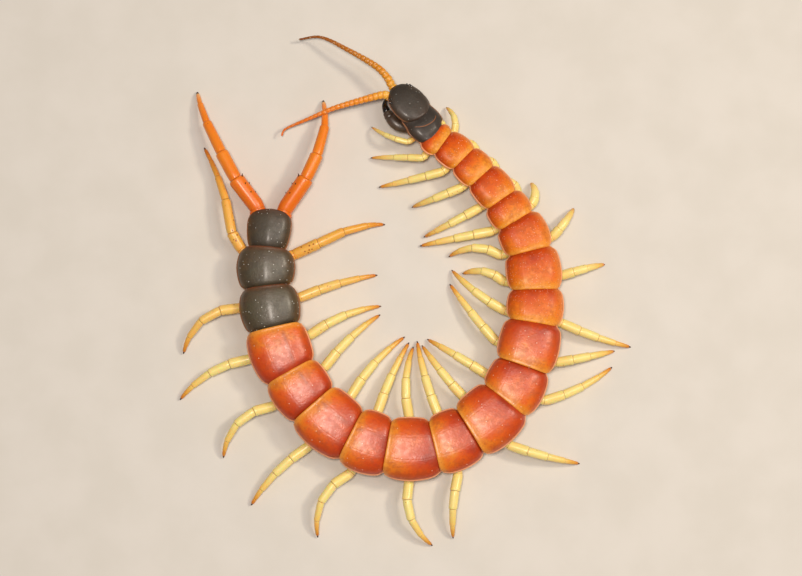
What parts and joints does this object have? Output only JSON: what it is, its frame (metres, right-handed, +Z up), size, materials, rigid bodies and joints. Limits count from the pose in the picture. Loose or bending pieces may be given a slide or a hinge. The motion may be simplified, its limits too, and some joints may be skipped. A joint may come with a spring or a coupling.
{
  "type": "giant desert centipede",
  "caption": "Life-size still centipede, curled in a hook with its back up, standing on its many legs, as a museum display model.",
  "frame": {"origin": "on the floor, under the middle of the animal's outline", "axes": "+Z up from the floor, +Y towards the side where the head and the tail legs lie, +X towards the outer side of the front of the trunk"},
  "size_m": [0.0954, 0.1081, 0.0089],
  "materials": {
    "red_plates": "glossy orange-red chitin",
    "dark_plates": "satin dark green-black chitin",
    "fang": "polished brown-black chitin",
    "walking_legs": "satin pale yellow chitin",
    "tail_legs": "satin bright orange chitin",
    "antenna_amber": "downy amber chitin",
    "antenna_orange": "downy orange chitin"
  },
  "bodies": {
    "root": {"antenna_left": "antenna_orange", "antenna_right": "antenna_amber", "forcipule_left": "fang", "forcipule_right": "fang", "head": "dark_plates", "leg_left_01": "walking_legs", "leg_left_02": "walking_legs", "leg_left_03": "walking_legs", "leg_left_04": "walking_legs", "leg_left_05": "walking_legs", "leg_left_06": "walking_legs", "leg_left_07": "walking_legs", "leg_left_08": "walking_legs", "leg_left_09": "walking_legs", "leg_left_10": "walking_legs", "leg_left_11": "walking_legs", "leg_left_12": "walking_legs", "leg_left_13": "walking_legs", "leg_left_14": "walking_legs", "leg_left_15": "walking_legs", "leg_left_16": "walking_legs", "leg_left_17": "walking_legs", "leg_left_18": "walking_legs", "leg_left_19": "walking_legs", "leg_left_20": "walking_legs", "leg_left_21": "tail_legs", "leg_right_01": "walking_legs", "leg_right_02": "walking_legs", "leg_right_03": "walking_legs", "leg_right_04": "walking_legs", "leg_right_05": "walking_legs", "leg_right_06": "walking_legs", "leg_right_07": "walking_legs", "leg_right_08": "walking_legs", "leg_right_09": "walking_legs", "leg_right_10": "walking_legs", "leg_right_11": "walking_legs", "leg_right_12": "walking_legs", "leg_right_13": "walking_legs", "leg_right_14": "walking_legs", "leg_right_15": "walking_legs", "leg_right_16": "walking_legs", "leg_right_17": "walking_legs", "leg_right_18": "walking_legs", "leg_right_19": "walking_legs", "leg_right_20": "walking_legs", "leg_right_21": "tail_legs", "throat_plate": "dark_plates", "trunk_01": "dark_plates", "trunk_02_03": "red_plates", "trunk_04_05": "red_plates", "trunk_06_07": "red_plates", "trunk_08_09": "red_plates", "trunk_10_11": "red_plates", "trunk_12_13": "red_plates", "trunk_14_15": "red_plates", "trunk_16_18": "red_plates", "trunk_19_20": "dark_plates", "trunk_21": "dark_plates"}
  },
  "joints": []
}
